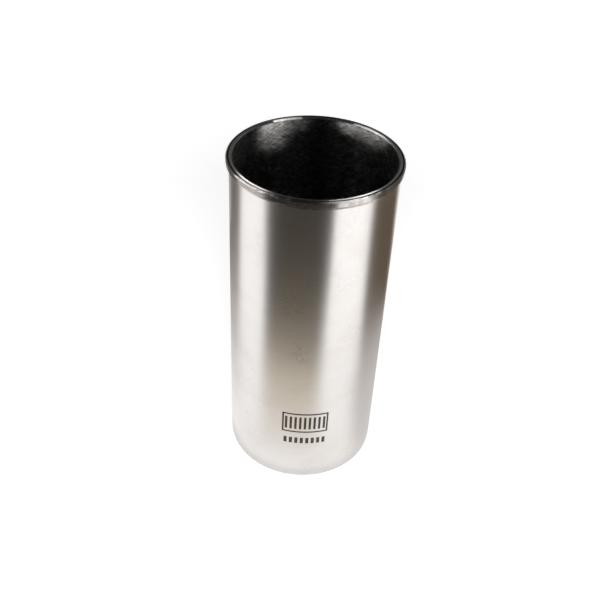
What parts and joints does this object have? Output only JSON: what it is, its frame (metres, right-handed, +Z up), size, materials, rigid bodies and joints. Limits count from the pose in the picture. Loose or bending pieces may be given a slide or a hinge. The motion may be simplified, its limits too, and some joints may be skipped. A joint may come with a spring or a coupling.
{
  "type": "cylinder liner",
  "caption": "Thin-walled dry cylinder liner with a honed bore, a ground barrel for a press fit in an engine block, and a narrow flange at the top that sits in the block's recess.",
  "frame": {"origin": "centre of the liner's lower end, on the bore's axis", "axes": "+Z up the bore towards the flange; the liner is the same all round, so +X and +Y are any two directions at right angles"},
  "size_m": [0.108, 0.108, 0.23],
  "materials": {
    "liner_iron": "ground outside and honed inside, bright satin"
  },
  "bodies": {
    "root": {"cylinder_liner": "liner_iron"}
  },
  "joints": []
}
